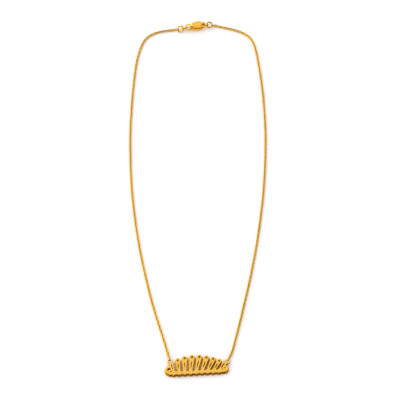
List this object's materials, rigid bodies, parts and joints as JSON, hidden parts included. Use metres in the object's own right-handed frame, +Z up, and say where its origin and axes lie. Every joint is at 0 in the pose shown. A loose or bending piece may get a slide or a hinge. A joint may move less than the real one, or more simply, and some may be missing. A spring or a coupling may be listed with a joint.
{
  "type": "nameplate necklace",
  "caption": "Fine cable chain necklace with a pierced double-sheet nameplate in front and a lobster clasp with jump rings at the back.",
  "frame": {"origin": "middle of the nameplate's back, on the surface that the necklace lies on", "axes": "+Z up from that surface, +Y from the nameplate towards the clasp, +X to the right of the nameplate seen from the front"},
  "size_m": [0.07, 0.2008, 0.0051],
  "materials": {
    "polished_gold": "polished",
    "satin_gold": "satin"
  },
  "bodies": {
    "necklace": {"nameplate": "satin_gold", "chain_left": "polished_gold", "chain_right": "polished_gold", "jump_ring_left": "polished_gold", "joining_link": "polished_gold", "catch_ring": "polished_gold", "clasp_body": "polished_gold", "clasp_pin": "polished_gold", "jump_ring_right": "polished_gold"},
    "lever": {"clasp_lever": "polished_gold"}
  },
  "joints": [
    {"name": "clasp_lever_hinge", "type": "hinge", "parent": "necklace", "child": "lever", "pos_m": [0.0031, 0.19244, 0.00235], "axis": [0.1513, -0.9885, 0], "range_deg": [0, 12], "stiffness_Nm_per_rad": 0.001, "springref_deg": -0.57}
  ]
}
